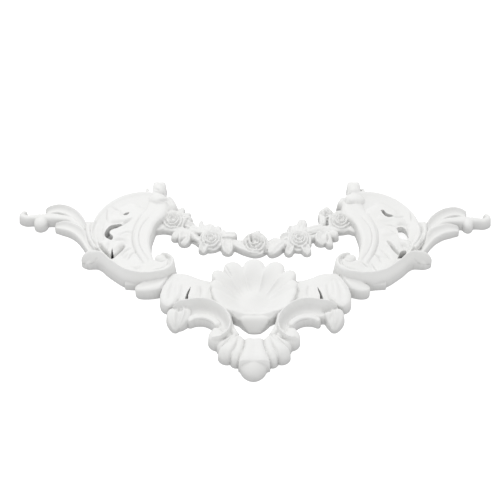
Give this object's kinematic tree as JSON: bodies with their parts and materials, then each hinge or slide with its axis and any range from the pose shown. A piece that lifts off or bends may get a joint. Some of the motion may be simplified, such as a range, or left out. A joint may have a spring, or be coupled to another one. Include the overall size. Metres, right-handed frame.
{
  "type": "ceiling corner ornament",
  "caption": "Right-angled rococo ceiling corner moulding: a scallop shell between scrolls, pierced leafy wings with hooked tails, and a swag of roses. Flat back.",
  "frame": {"origin": "on the flat back, in the mirror plane, under the scallop shell", "axes": "+X from tip to tip towards the right-hand tail, -Y towards the corner of the ceiling, +Z out of the carved face; the flat back is at z = 0"},
  "size_m": [0.6363, 0.3417, 0.029],
  "materials": {
    "corner_ornament": "matt white, as cast and primed"
  },
  "bodies": {
    "root": {"corner_ornament": "corner_ornament"}
  },
  "joints": []
}
